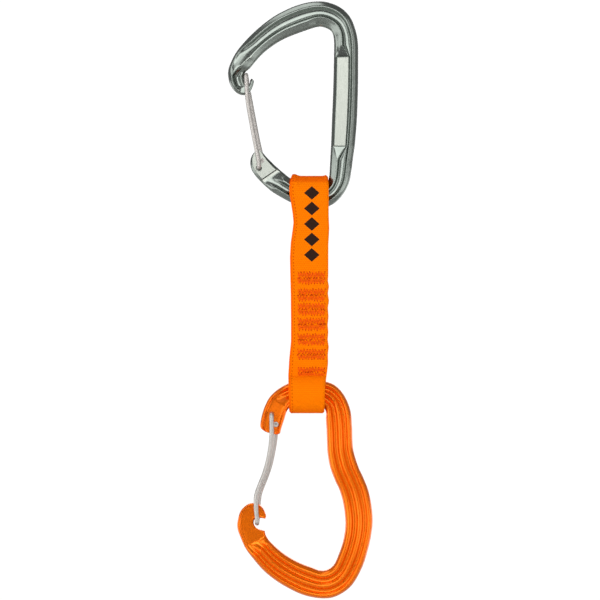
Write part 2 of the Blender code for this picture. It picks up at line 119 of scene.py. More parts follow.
# Stations along the bar: a point on its inner edge, the point across on its outer edge (x, z in
# mm), and the section there.
UPPER_BAR = (
    ((-28.8, -58.9), (-30.2, -58.9), PLATE),
    ((-27.6, -59.5), (-31.7, -60.2), PLATE),
    ((-26.3, -61.0), (-32.9, -62.5), PLATE),
    ((-24.9, -62.6), (-33.2, -65.3), PLATE),
    ((-23.0, -64.5), (-32.5, -68.4), PLATE),
    ((-21.2, -66.3), (-30.8, -71.0), PLATE),
    ((-19.9, -67.4), (-28.8, -73.3), PLATE),
    ((-19.6, -67.7), (-28.4, -73.7), AFTER_PLATE),
    ((-18.8, -68.4), (-27.4, -74.7), AFTER_PLATE),
    ((-16.7, -70.1), (-24.9, -77.0), RISING),
    ((-14.9, -71.5), (-22.5, -78.9), RIBBED),
    ((-10.5, -74.3), (-15.5, -82.9), RIBBED),
    ((-6.0, -76.0), (-9.0, -85.6), RIBBED),
    ((-1.8, -76.5), (-2.2, -86.9), RIBBED),
    ((1.8, -75.8), (4.6, -85.4), RIBBED),
    ((3.7, -74.0), (9.8, -81.5), RIBBED),
    ((4.4, -71.0), (13.6, -75.4), RIBBED),
    ((4.7, -66.5), (15.1, -68.2), RIBBED),
    ((4.9, -62.9), (15.7, -63.4), RIBBED),
    ((5.2, -57.2), (16.6, -57.3), FOOT_DIP),
    ((5.25, -56.8), (16.65, -56.9), PANEL),
    ((5.7, -44.0), (17.7, -44.0), PANEL),
    ((6.3, -29.0), (18.2, -29.0), PANEL),
    ((6.6, -15.1), (18.3, -14.6), PANEL),
    ((6.62, -14.7), (18.3, -14.2), DIP),
    ((6.7, -9.5), (18.2, -8.0), RIBBED),
    ((6.5, -5.0), (17.2, -2.0), BASKET),
    ((5.3, -2.2), (14.4, 4.8), BASKET),
    ((3.0, -0.7), (9.6, 9.4), BASKET),
    ((0.6, 0.0), (3.2, 11.85), BASKET),
    ((-1.6, -0.2), (-2.2, 12.1), BASKET),
    ((-5.0, -1.2), (-7.8, 11.2), RIBBED),
    ((-9.5, -2.8), (-14.0, 9.1), RIBBED),
    ((-15.0, -4.9), (-21.5, 5.3), RIBBED),
    ((-20.5, -7.8), (-28.3, 0.3), RIBBED),
    ((-26.0, -11.9), (-34.8, -5.8), RIBBED),
    ((-30.0, -16.0), (-39.9, -12.0), RIB_END),
    ((-33.0, -19.6), (-43.0, -18.2), NOSE_BAND),
    ((-35.4, -21.6), (-43.8, -21.6), POCKET_START),
    ((-36.15, -23.2), (-43.7, -24.0), POCKET),
    ((-36.1, -25.2), (-43.1, -26.9), POCKET),
    ((-35.6, -26.7), (-41.7, -29.6), POCKET),
    ((-34.9, -27.6), (-39.3, -31.8), HOOK),
    ((-34.0, -27.6), (-36.2, -32.6), HOOK),
    ((-33.4, -26.7), (-33.3, -31.1), HORN),
    ((-33.3, -25.6), (-31.9, -28.4), HORN),
    ((-32.8, -24.8), (-31.4, -26.2), HORN),
)


def new_material(name):
    """A material with its node tree and its shader."""
    material = bpy.data.materials.new(name)
    material.use_nodes = True
    return material, material.node_tree, material.node_tree.nodes["Principled BSDF"]


def add(tree, kind, inputs=(), **settings):
    """A node of this kind, with its inputs set to a value or joined to another node's output."""
    made = tree.nodes.new("ShaderNode" + kind)
    for key, value in settings.items():
        setattr(made, key, value)
    for key, value in dict(inputs).items():
        if isinstance(value, bpy.types.NodeSocket):
            tree.links.new(value, made.inputs[key])
        else:
            made.inputs[key].default_value = value
    return made


def new_piece(name, points, faces, materials, smooth_angle=40, uv=None):
    """A mesh object from points in millimetres."""
    mesh = bpy.data.meshes.new(name)
    mesh.from_pydata((np.asarray(points) * MM).tolist(), [], faces)
    shape = bmesh.new()
    shape.from_mesh(mesh)
    bmesh.ops.recalc_face_normals(shape, faces=shape.faces)
    shape.to_mesh(mesh)
    shape.free()
    if uv is not None:
        layer = mesh.uv_layers.new(name="strip")
        corners = np.empty(len(mesh.loops), np.int32)
        mesh.loops.foreach_get("vertex_index", corners)
        layer.data.foreach_set("uv", np.asarray(uv)[corners].astype(np.float32).ravel())
    for material in materials:
        mesh.materials.append(material)
    mesh.shade_smooth()
    mesh.set_sharp_from_angle(angle=math.radians(smooth_angle))
    piece = bpy.data.objects.new(name, mesh)
    bpy.context.scene.collection.objects.link(piece)
    return piece


def between(a, b, c, d, t):
    """The place a fraction t of the way from b to c, on a smooth curve that also passes a and d."""
    return 0.5 * (2 * b + (c - a) * t + (2 * a - 5 * b + 4 * c - d) * t**2
                  + (3 * b - a - 3 * c + d) * t**3)  # fmt: skip


def with_run_outs(points):
    """The points with one more at each end, in line with the last two."""
    return np.vstack([2 * points[0] - points[1], points, 2 * points[-1] - points[-2]])


def wall(start, rings, around):
    """The faces between rings of points, the first of which has the index start."""
    return [
        (start + i * around + k, start + i * around + (k + 1) % around,
         start + (i + 1) * around + (k + 1) % around, start + (i + 1) * around + k)
        for i in range(rings - 1) for k in range(around)
    ]  # fmt: skip


def closed_tube(rings, around):
    """The faces of a tube through rings of points, with a flat face at each end."""
    last = (rings - 1) * around
    ends = [tuple(reversed(range(around))), tuple(range(last, last + around))]
    return wall(0, rings, around) + ends


def loft(rings, dome):
    """Points and faces of a tube through these rings, its ends rounded off by dome millimetres."""
    rings = [np.asarray(ring) for ring in rings]

    def rounded_end(last, before):
        centre = last.mean(0)
        away = centre - before.mean(0)
        away = away / np.linalg.norm(away)
        turns = np.radians((25, 50, 70, 85))
        return [centre + (last - centre) * math.cos(a) + away * dome * math.sin(a) for a in turns]

    rings = [*reversed(rounded_end(rings[0], rings[1])), *rings, *rounded_end(rings[-1], rings[-2])]
    return np.vstack(rings), closed_tube(len(rings), len(rings[0]))


def forged_bar(name, stations, material, step=0.8, samples=3, dome=0.5):
    """Lofts the sections along the stations, with every corner of a section rolled over."""
    edges = np.array([inner + outer for inner, outer, _ in stations])
    ends = with_run_outs(edges)
    across = 2 * len(stations[0][2]) + 2
    smooth = np.zeros((across * samples, across))
    for i in range(across):
        for j in range(samples):
            t = j / samples
            weights = ((1 - t) ** 3, 3 * t**3 - 6 * t**2 + 4,
                       -3 * t**3 + 3 * t**2 + 3 * t + 1, t**3)  # fmt: skip
            for k, weight in enumerate(weights):
                smooth[i * samples + j, (i + k - 1) % across] += weight / 6
    rings = []

    def ring(edge, section):
        inner, outer = edge[:2], edge[2:]
        front = [(u, -h) for u, h in section]
        closed = front + [(1, 0)] + [(u, -y) for u, y in reversed(front)] + [(0, 0)]
        flat = smooth @ np.array(closed)
        place = inner + (outer - inner) * flat[:, :1]
        return np.column_stack([place[:, 0], flat[:, 1], place[:, 1]])

    for i in range(len(stations) - 1):
        a, b, c, d = ends[i : i + 4]
        count = max(1, round(float(np.abs(c - b).max()) / step))
        first = np.array(stations[i][2])
        second = np.array(stations[i + 1][2])
        for t in np.arange(count) / count:
            rings.append(ring(between(a, b, c, d, t), first + (second - first) * t))
    rings.append(ring(edges[-1], np.array(stations[-1][2])))
    points, faces = loft(rings, dome)
    return new_piece(name, points, faces, [material])


def drill(body, x, z, radius, front=-8.0, back=8.0):
    """A round hole along Y, from front to back: right through the body unless one is inside it."""
    sides = 40
    turns = np.arange(sides) / sides * 2 * math.pi
    circle = np.column_stack([x + radius * np.cos(turns), z + radius * np.sin(turns)])
    points = [(a, y, b) for y in (front, back) for a, b in circle]
    cutter = new_piece("drill", points, closed_tube(2, sides), [body.data.materials[0]])
    modifier = body.modifiers.new("hole", "BOOLEAN")
    modifier.operation = "DIFFERENCE"
    modifier.solver = "EXACT"
    modifier.object = cutter
    bpy.context.view_layer.objects.active = body
    bpy.ops.object.modifier_apply(modifier="hole")
    bpy.data.objects.remove(cutter, do_unlink=True)


def machined_with_painted_sheen(name, dark, light, stroke):
    """Milled aluminium under the same dye, with the fine parallel marks of the cutter: paler,
    partly as bare metal and partly as a painted reflection.
    """
    material, tree, shader = new_material(name)
    place = add(tree, "TexCoord").outputs["Object"]
    drawn = add(tree, "Mapping", {"Vector": place, "Scale": stroke}).outputs[0]
    marks = add(tree, "TexNoise", {"Vector": drawn, "Scale": 1500, "Detail": 4, "Roughness": 0.65})
    grit = add(tree, "TexNoise", {"Vector": place, "Scale": 1800, "Detail": 4})
    both = add(tree, "Mix", {0: 0.4, 2: marks.outputs[0], 3: grit.outputs[0]})
    blend = add(tree, "MapRange", {"Value": both.outputs[0], "From Min": 0.35, "From Max": 0.65})
    colour = add(tree, "Mix", {0: blend.outputs[0], 6: (*dark, 1), 7: (*light, 1)},
                 data_type="RGBA")  # fmt: skip
    bump = add(tree, "Bump", {"Height": both.outputs[0], "Strength": 0.12, "Distance": 0.00003})
    shader.inputs["Metallic"].default_value = 1.0
    shader.inputs["Roughness"].default_value = 0.32
    tree.links.new(colour.outputs[2], shader.inputs["Base Color"])
    tree.links.new(bump.outputs[0], shader.inputs["Normal"])
    return material


def anodised(name, dark, light, rough, metal, coat):
    """Dyed anodised aluminium: a fine forged skin, slightly uneven in colour and gloss."""
    material, tree, shader = new_material(name)
    place = add(tree, "TexCoord").outputs["Object"]
    patches = add(tree, "TexNoise", {"Vector": place, "Scale": 260, "Detail": 3})
    grain = add(tree, "TexNoise", {"Vector": place, "Scale": 3200, "Detail": 4, "Roughness": 0.7})
    skin = add(tree, "TexNoise", {"Vector": place, "Scale": 700, "Detail": 2})
    blend = add(tree, "MapRange", {"Value": patches.outputs[0], "From Min": 0.3, "From Max": 0.7})
    colour = add(tree, "Mix", {0: blend.outputs[0], 6: (*dark, 1), 7: (*light, 1)},
                 data_type="RGBA")  # fmt: skip
    gloss = add(tree, "MapRange", {"Value": grain.outputs[0], "From Min": 0.3, "From Max": 0.7,
                                   "To Min": rough - 0.03, "To Max": rough + 0.04})  # fmt: skip
    bump = add(tree, "Bump", {"Height": grain.outputs[0], "Strength": 0.05, "Distance": 0.00003})
    peel = add(tree, "Bump", {"Height": skin.outputs[0], "Strength": 0.06, "Distance": 0.00005,
                              "Normal": bump.outputs[0]})  # fmt: skip
    shader.inputs["Metallic"].default_value = metal
    shader.inputs["Coat Weight"].default_value = coat
    shader.inputs["Coat Roughness"].default_value = 0.18
    shader.inputs["Coat IOR"].default_value = 1.4
    shader.inputs["Specular IOR Level"].default_value = 0.0
    tree.links.new(colour.outputs[2], shader.inputs["Base Color"])
    tree.links.new(gloss.outputs[0], shader.inputs["Roughness"])
    tree.links.new(peel.outputs[0], shader.inputs["Normal"])
    return material


grey = anodised("grey_anodised", (0.183, 0.205, 0.186), (0.213, 0.237, 0.216),
                rough=0.23, metal=1.0, coat=0.25)  # fmt: skip
# The milled faces are paler than the forging: partly bare metal, partly a painted reflection.
milled_with_painted_sheen = machined_with_painted_sheen("grey_milled_painted_sheen", (0.255, 0.272, 0.243), (0.315, 0.33, 0.298), stroke=(1, 1, 0.15))
upper_body = forged_bar("upper_carabiner_forging", UPPER_BAR, grey)

# Each hole is opened out from the face that the wire enters by, down to a snug rim at the far face.
SNUG, OPENED, OPENED_TO = 1.08, 1.5, 1.6
drill(upper_body, -29.0, -67.3, SNUG)
drill(upper_body, -29.1, -67.6, OPENED, back=OPENED_TO)
drill(upper_body, -27.7, -63.9, SNUG)
drill(upper_body, -27.8, -64.2, OPENED, front=-OPENED_TO)
upper_body.data.set_sharp_from_angle(angle=math.radians(40))
upper_body.data.materials.append(milled_with_painted_sheen)

# The cutter takes the dye's skin off the flat faces of the panel and the plate; their paler colour
# is partly that bare metal and partly a painted reflection.
PANEL_TOP, PANEL_FOOT, PANEL_SIDE = -14.4, -57.0, 14.0
PLATE_TOP, PLATE_SIDE = -58.0, -19.0
for face in upper_body.data.polygons:
    x, y, z = face.center / MM
    on_panel = PANEL_FOOT < z < PANEL_TOP and abs(y) > 3.9 and x < PANEL_SIDE
    on_plate = z < PLATE_TOP and x < PLATE_SIDE and abs(y) < 2.3
    if abs(face.normal.y) > 0.995 and (on_panel or on_plate):
        face.material_index = 1
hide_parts("upper_carabiner_body")
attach(upper_body, "upper_carabiner")


# ---------------------------------------------------------------- upper gate wire
# The upper gate: one length of bright drawn stainless wire, bent into a long loop whose crossbar
# rests under the nose. Its two ends turn in the body's holes at different heights, so that the
# flexing wire springs the gate shut.
UPPER_FRONT_LEG = (
    (-29.0, -67.3), (-29.3, -63.2), (-31.7, -51.0), (-34.3, -36.0), (-35.0, -26.5), (-35.1, -23.1),
)  # fmt: skip
UPPER_REAR_LEG = (
    (-27.7, -63.9), (-28.1, -60.5), (-29.6, -54.0), (-33.0, -36.0), (-34.7, -26.5), (-35.1, -23.1),
)  # fmt: skip


def curve_through(points, step):
    """Points on a smooth curve through these, about one step apart."""
    points = np.asarray(points, float)
    ends = with_run_outs(points)
    route = []
    for i in range(len(points) - 1):
        a, b, c, d = ends[i : i + 4]
        count = max(1, round(float(np.linalg.norm(c - b)) / step))
        route += [between(a, b, c, d, t) for t in np.arange(count) / count]
    route.append(points[-1])
    return np.array(route)


def evenly(path, apart):
    """The path at places this far apart, with the direction and the distance run at each."""
    gaps = np.linalg.norm(np.diff(path, axis=0), axis=1)
    along = np.concatenate([[0], np.cumsum(gaps)])
    spaced = np.linspace(0, along[-1], int(along[-1] / apart))
    path = np.column_stack([np.interp(spaced, along, column) for column in path.T])
    tangents = np.gradient(path, axis=0)
    tangents /= np.linalg.norm(tangents, axis=1)[:, None]
    return path, tangents, spaced


def bent_wire(name, front_leg, rear_leg, leg_y, reach, radius, bend, material, dimple):
    """The wire's round section swept up the front leg, over the crossbar and down the rear leg."""
    front = [(x, -leg_y, z) for x, z in curve_through(front_leg, 2.0)]
    rear = [(x, leg_y, z) for x, z in curve_through(rear_leg, 2.0)][::-1]
    corners = np.array([(front[0][0], reach, front[0][2]), *front, *rear,
                        (rear[-1][0], -reach, rear[-1][2])])  # fmt: skip
    path = [corners[0]]
    for before, corner, after in zip(corners, corners[1:], corners[2:]):
        back, ahead = before - corner, after - corner
        cut = [min(bend, 0.48 * np.linalg.norm(v)) / np.linalg.norm(v) for v in (back, ahead)]
        start, stop = corner + back * cut[0], corner + ahead * cut[1]
        for t in np.linspace(0, 1, 7):
            path.append((1 - t) ** 2 * start + 2 * t * (1 - t) * corner + t**2 * stop)
    path, tangents, _ = evenly(np.array([*path, corners[-1]]), 0.45)
    side = np.array((0.0, 0.0, 1.0))
    turns = np.arange(24) / 24 * 2 * math.pi
    rings = []
    for place, ahead in zip(path, tangents):
        side = side - ahead * (side @ ahead)
        side /= np.linalg.norm(side)
        other = np.cross(ahead, side)
        rings.append(place + radius * (np.cos(turns)[:, None] * side
                                       + np.sin(turns)[:, None] * other))  # fmt: skip

    def end(ring, outwards):
        """The tang's end, flared like a rivet head and dimpled in the middle."""
        centre = ring.mean(0)
        steps = ((1.12, 0.03), (1.18, 0.12), (1.12, 0.22), (0.9, 0.27), (0.6, 0.24), (0.48, 0.18),
                 (0.42, 0.2 - dimple), (0.02, 0.15 - dimple))  # fmt: skip
        return [centre + (ring - centre) * scale + outwards * push for scale, push in steps]

    rings = [*reversed(end(rings[0], -tangents[0])), *rings, *end(rings[-1], tangents[-1])]
    return new_piece(name, np.vstack(rings), closed_tube(len(rings), len(turns)), [material], 35)


steel, tree, shader = new_material("gate_wire")
place = add(tree, "TexCoord").outputs["Object"]
stretched = add(tree, "Mapping", {"Vector": place, "Scale": (1, 1, 0.04)}).outputs[0]
draw_lines = add(tree, "TexNoise", {"Vector": stretched, "Scale": 1800, "Detail": 3})
spots = add(tree, "TexNoise", {"Vector": place, "Scale": 180, "Detail": 2})
tone = add(tree, "Mix", {0: spots.outputs[0], 6: (0.455, 0.43, 0.405, 1),
                         7: (0.505, 0.48, 0.455, 1)}, data_type="RGBA")  # fmt: skip
polish = add(tree, "MapRange", {"Value": draw_lines.outputs[0], "To Min": 0.48, "To Max": 0.54})
lines = add(tree, "Bump", {"Height": draw_lines.outputs[0], "Strength": 0.02, "Distance": 0.00001})
shader.inputs["Metallic"].default_value = 0.95
tree.links.new(tone.outputs[2], shader.inputs["Base Color"])
tree.links.new(polish.outputs[0], shader.inputs["Roughness"])
tree.links.new(lines.outputs[0], shader.inputs["Normal"])

upper_gate = bent_wire("upper_gate_wire_loop", UPPER_FRONT_LEG, UPPER_REAR_LEG, leg_y=3.9,
                       reach=2.15, radius=1.0, bend=2.0, material=steel, dimple=0.3)  # fmt: skip
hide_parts("upper_gate_wire")
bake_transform(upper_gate)  # fmt: skip


# ---------------------------------------------------------------- lower carabiner body
# The lower carabiner's body: one aluminium bar, hot forged with three ribs. It has a rimmed plate
# where the gate wire turns and a rimmed flat nose with a notch for the gate's crossbar, and it is
# polished and anodised glossy orange.
THREE_RIBS = (
    (0, 1.0), (0.018, 2.1), (0.045, 2.9), (0.085, 3.55), (0.125, 3.9), (0.16, 4.0),
    (0.195, 3.92), (0.235, 3.5), (0.27, 2.85), (0.305, 2.5), (0.345, 2.45), (0.385, 2.5),
    (0.425, 2.9), (0.475, 3.7), (0.53, 4.0), (0.585, 3.7), (0.635, 2.9), (0.675, 2.5),
    (0.71, 2.45), (0.745, 2.5), (0.78, 2.85),
    (0.815, 3.4), (0.86, 3.7), (0.905, 3.5), (0.96, 2.4), (1, 1.0),
)  # fmt: skip
RIMMED_PLATE = (
    (0, 1.0), (0.015, 1.6), (0.035, 2.2), (0.06, 2.62), (0.085, 2.75), (0.11, 2.7), (0.135, 2.4),
    (0.16, 2.1), (0.19, 1.95), (0.25, 1.9), (0.32, 1.9), (0.39, 1.9), (0.46, 1.9), (0.53, 1.9),
    (0.60, 1.9), (0.67, 1.9), (0.74, 1.9), (0.80, 1.95), (0.835, 2.1), (0.86, 2.4), (0.885, 2.7),
    (0.91, 2.75), (0.94, 2.62), (0.965, 2.2), (0.985, 1.6), (1, 1.0),
)  # fmt: skip
RIMMED_NOSE = (
    (0, 1.0), (0.02, 1.4), (0.05, 1.8), (0.08, 2.0), (0.12, 2.05), (0.17, 2.0), (0.22, 2.0),
    (0.27, 2.0), (0.32, 2.0), (0.37, 2.0), (0.42, 2.0), (0.47, 2.0), (0.52, 2.0), (0.57, 2.0),
    (0.62, 2.0), (0.67, 2.0), (0.72, 2.0), (0.77, 2.0), (0.82, 2.05), (0.855, 2.2), (0.885, 2.45),
    (0.91, 2.6), (0.94, 2.55), (0.965, 2.2), (0.985, 1.6), (1, 1.0),
)  # fmt: skip
LOWER_BAR = (
    ((-19.9, -194.2), (-26.7, -192.5), RIMMED_PLATE),
    ((-18.9, -193.6), (-28.0, -191.5), RIMMED_PLATE),
    ((-18.5, -192.0), (-28.5, -190.2), RIMMED_PLATE),
    ((-17.9, -190.0), (-28.3, -188.0), RIMMED_PLATE),
    ((-16.9, -187.0), (-27.4, -184.0), RIMMED_PLATE),
    ((-16.0, -184.0), (-26.0, -180.2), RIMMED_PLATE),
    ((-14.9, -181.9), (-23.6, -176.0), RIMMED_PLATE),
    ((-12.4, -180.3), (-19.0, -172.0), THREE_RIBS),
    ((-9.0, -179.6), (-13.0, -169.2), THREE_RIBS),
    ((-4.5, -179.4), (-5.0, -167.9), THREE_RIBS),
    ((-0.8, -180.0), (2.0, -168.8), THREE_RIBS),
    ((1.6, -181.3), (7.5, -171.0), THREE_RIBS),
    ((2.8, -183.4), (11.8, -176.0), THREE_RIBS),
    ((2.8, -187.0), (14.6, -183.0), THREE_RIBS),
    ((3.1, -192.0), (15.4, -191.0), THREE_RIBS),
    ((3.3, -197.5), (15.6, -197.5), THREE_RIBS),
    ((3.6, -203.0), (16.2, -202.8), THREE_RIBS),
    ((4.8, -209.8), (18.4, -209.8), THREE_RIBS),
    ((7.2, -216.2), (20.8, -215.0), THREE_RIBS),
    ((9.2, -220.5), (23.2, -221.3), THREE_RIBS),
    ((10.9, -226.3), (24.6, -228.0), THREE_RIBS),
    ((11.9, -233.0), (25.2, -235.0), THREE_RIBS),
    ((12.0, -239.0), (24.6, -241.5), THREE_RIBS),
    ((10.9, -245.5), (22.9, -249.2), THREE_RIBS),
    ((8.9, -251.5), (20.0, -257.9), THREE_RIBS),
    ((6.6, -256.4), (14.8, -266.6), THREE_RIBS),
    ((3.4, -258.7), (7.5, -271.5), THREE_RIBS),
    ((0.0, -259.0), (0.5, -272.4), THREE_RIBS),
    ((-4.0, -257.6), (-7.5, -270.9), THREE_RIBS),
    ((-9.5, -255.5), (-14.5, -267.8), THREE_RIBS),
    ((-15.5, -252.2), (-21.0, -263.9), THREE_RIBS),
    ((-20.0, -248.8), (-27.0, -259.0), THREE_RIBS),
    ((-24.0, -244.9), (-32.2, -253.0), THREE_RIBS),
    ((-25.7, -242.5), (-35.6, -248.3), RIMMED_NOSE),
    ((-26.3, -240.3), (-38.0, -243.0), RIMMED_NOSE),
    ((-27.4, -239.9), (-39.1, -240.0), RIMMED_NOSE),
    ((-29.8, -239.1), (-39.5, -237.4), RIMMED_NOSE),
    ((-31.2, -237.6), (-39.2, -235.2), RIMMED_NOSE),
    ((-31.6, -236.2), (-38.4, -232.0), RIMMED_NOSE),
    ((-31.2, -234.8), (-36.9, -229.5), RIMMED_NOSE),
    ((-30.0, -234.2), (-33.6, -227.1), RIMMED_NOSE),
    ((-28.6, -234.1), (-29.6, -227.3), RIMMED_NOSE),
    ((-27.2, -234.2), (-27.0, -229.4), RIMMED_NOSE),
    ((-26.3, -234.4), (-25.7, -232.4), RIMMED_NOSE),
)

orange = anodised("orange_anodised", (0.86, 0.152, 0.0), (0.90, 0.17, 0.0),
                  rough=0.25, metal=0.65, coat=0.35)  # fmt: skip
lower_body = forged_bar("lower_carabiner_forging", LOWER_BAR, orange)
drill(lower_body, -23.0, -184.5, 1.18)
drill(lower_body, -21.0, -189.4, 1.18)
lower_body.data.set_sharp_from_angle(angle=math.radians(40))
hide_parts("lower_carabiner_body")
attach(lower_body, "lower_carabiner")


# ---------------------------------------------------------------- lower gate wire
# The lower gate: the same kind of wire loop, thicker and bowed to follow the bent gate, with the
# end of each tang flared and dimpled so that it can't slip out of its hole.
LOWER_FRONT_LEG = (
    (-23.0, -184.5), (-23.0, -187.3), (-23.1, -196.9), (-24.6, -206.4), (-26.5, -213.0),
    (-28.6, -218.3), (-30.3, -223.5), (-30.4, -229.5), (-30.0, -233.3), (-29.9, -236.4),
)  # fmt: skip
LOWER_REAR_LEG = (
    (-21.0, -189.4), (-21.0, -191.2), (-21.4, -196.9), (-23.1, -206.4), (-25.0, -213.0),
    (-27.1, -218.3), (-28.9, -223.5), (-29.5, -229.5), (-29.7, -233.3), (-29.9, -236.4),
)  # fmt: skip
lower_gate = bent_wire("lower_gate_wire_loop", LOWER_FRONT_LEG, LOWER_REAR_LEG, leg_y=4.15,
                       reach=2.15, radius=1.1, bend=2.2, material=steel, dimple=0.45)  # fmt: skip
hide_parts("lower_gate_wire")
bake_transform(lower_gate)  # fmt: skip


# ---------------------------------------------------------------- webbing sling
# The sling: one strip of flat woven polyamide webbing, 18 mm wide and 1.3 mm thick, folded into an
# eye at each end with its ends lapped between the two plies and sewn through. A plain dark pattern
# is printed on the front.
LEFT_EDGE = (
    (-70.0, -13.3), (-72.4, -14.4), (-76.0, -14.6), (-80.0, -14.5), (-84.5, -13.7), (-89.0, -13.0),
    (-93.5, -12.6), (-97.5, -13.1), (-103.0, -13.9), (-110.0, -14.3), (-128.0, -13.9),
    (-140.0, -13.8), (-150.0, -13.8), (-152.0, -14.0), (-158.0, -14.6), (-166.0, -15.1),
    (-170.0, -15.0), (-182.0, -14.7), (-184.0, -14.4), (-185.0, -14.0),
)  # fmt: skip
RIGHT_EDGE = (
    (-70.0, 3.0), (-72.4, 3.9), (-76.0, 4.1), (-90.0, 4.1), (-96.0, 4.4), (-104.0, 4.0),
    (-118.0, 4.0), (-121.0, 3.8), (-123.8, 4.3), (-127.0, 3.8), (-130.6, 4.3), (-134.0, 3.8),
    (-138.2, 4.1), (-142.0, 3.7), (-145.5, 4.0), (-149.0, 3.7), (-152.6, 4.2), (-156.0, 3.8),
    (-160.0, 3.9), (-164.0, 3.5), (-168.0, 2.9), (-171.0, 2.45), (-183.0, 2.1), (-185.0, 2.0),
)  # fmt: skip
TACKS = (
    (-116.9, -122.5), (-125.0, -130.6), (-131.8, -137.4), (-138.9, -144.5), (-146.5, -151.7),
    (-153.7, -158.3), (-162.4, -166.8),
)  # fmt: skip
SELVEDGE_ROUND = 0.5
# The inner face's distances along the strip start here, so that the print can be told apart.
INNER_FACE = 1000


def pucker(z):
    """How far the webbing swells out between two tacks and is drawn in under one, in mm."""
    middles = [(top + bottom) / 2 for top, bottom in TACKS]
    if not middles[-1] < z < middles[0]:
        return 0.0
    phase = np.interp(z, middles[::-1], range(len(middles)))
    return 0.16 * math.sin(math.pi * phase) ** 2 - 0.08 * math.cos(math.pi * phase) ** 8


def edge_at(table, z):
    zs, xs = zip(*reversed(table))
    return np.interp(z, zs, xs)


def ribbon(name, route, material, half=0.65, lift=None):
    """A strip of webbing laid along a route of (y, z), as wide as the two edge tables say."""
    route, tangents, spaced = evenly(np.asarray(route, float), 0.5)
    outwards = np.column_stack([-tangents[:, 1], tangents[:, 0]])
    fractions = np.linspace(0, 1, 22)
    full = half > 0.6
    rings, uv = [], []
    for (y, z), (out_y, out_z), run in zip(route, outwards, spaced):
        left, right = edge_at(LEFT_EDGE, z), edge_at(RIGHT_EDGE, z)
        width = right - left
        ring = []
        for side in (1, -1):
            row = fractions if side == 1 else fractions[::-1]
            for f in row:
                rim = min(f, 1 - f) * width
                thick = half
                if rim < SELVEDGE_ROUND:
                    inward = max(0.0, 1 - rim / SELVEDGE_ROUND)
                    thick = half * math.sqrt(max(0.0, 1 - inward**2))
                thick += 0.06 * math.exp(-((rim - 0.9) / 0.4) ** 2)
                if full and side == 1:
                    thick += pucker(z) * min(1.0, rim / 2.5)
                x = left + f * width
                raised = lift(x, y, z) if lift else 0.0
                ring.append((x, y + out_y * thick * side, z + out_z * thick * side + raised))
                uv.append((f * width, run if side == 1 else run + INNER_FACE))
        rings.append(np.array(ring))
    faces = closed_tube(len(rings), len(rings[0]))
    return new_piece(name, np.vstack(rings), faces, [material], 50, uv)


def arc(centre_z, radius, start, stop, count):
    angles = np.radians(np.linspace(start, stop, count))
    return [(radius * math.cos(a), centre_z + radius * math.sin(a)) for a in angles]


webbing, tree, shader = new_material("webbing")
strip = add(tree, "TexCoord").outputs["UV"]
apart = add(tree, "SeparateXYZ", {0: strip})
across, along = apart.outputs[0], apart.outputs[1]


def sums(kind, *values):
    """One arithmetic node; each value is a number or another node's output."""
    return add(tree, "Math", dict(enumerate(values)), operation=kind).outputs[0]


def tinted(amount, colour, under):
    """The colour laid over another, by an amount from 0 to 1."""
    return add(tree, "Mix", {0: amount, 6: under, 7: (*colour, 1)}, data_type="RGBA").outputs[2]


# The weave: yarns run along the strip, and every other one is half a pick further on.
FULL_TURN, HALF_TURN = 6.2832, 3.1416
YARN_WIDTH, PICK, RIB, BEAD = 0.55, 1.9, 0.95, 1.57
yarn = sums("DIVIDE", across, YARN_WIDTH)
odd = sums("MODULO", sums("FLOOR", yarn), 2.0)
pick = sums("MULTIPLY_ADD", along, FULL_TURN / PICK, 0.0)
over = sums("MULTIPLY_ADD", sums("SINE", sums("MULTIPLY_ADD", odd, HALF_TURN, pick)), 0.5, 0.5)
crown = sums("ABSOLUTE", sums("SINE", sums("MULTIPLY", yarn, HALF_TURN)))
ribs = sums("SINE", sums("MULTIPLY", along, FULL_TURN / RIB))
height = sums("MULTIPLY_ADD", ribs, 0.3, sums("MULTIPLY", over, crown))
fuzz = add(tree, "TexNoise", {"Vector": strip, "Scale": 2.6, "Detail": 6, "Roughness": 0.7})
broad = add(tree, "TexNoise", {"Vector": strip, "Scale": 0.16, "Detail": 3})
shade = add(tree, "MapRange", {"Value": height, "From Min": -0.4, "From Max": 1.3})
cloth = add(tree, "Mix", {0: shade.outputs[0], 6: (0.84, 0.13, 0.0, 1), 7: (1.0, 0.26, 0.0, 1)},
            data_type="RGBA").outputs[2]  # fmt: skip
uneven = add(tree, "MapRange", {"Value": broad.outputs[0], "From Min": 0.35, "From Max": 0.65,
                                "To Min": 0.0, "To Max": 0.35})  # fmt: skip
cloth = tinted(uneven.outputs[0], (1.0, 0.18, 0.0), cloth)

# It is painted darker where it rolls over at the crown and the foot: painted shade. It is also
# darker at the selvedge, and in the beaded line of needle marks beside the selvedge.
spot = add(tree, "SeparateXYZ", {0: add(tree, "TexCoord").outputs["Object"]})
spot_x, spot_y, spot_z = (sums("MULTIPLY", value, 1000.0) for value in spot.outputs)
front_face = sums("LESS_THAN", spot_y, 0.0)
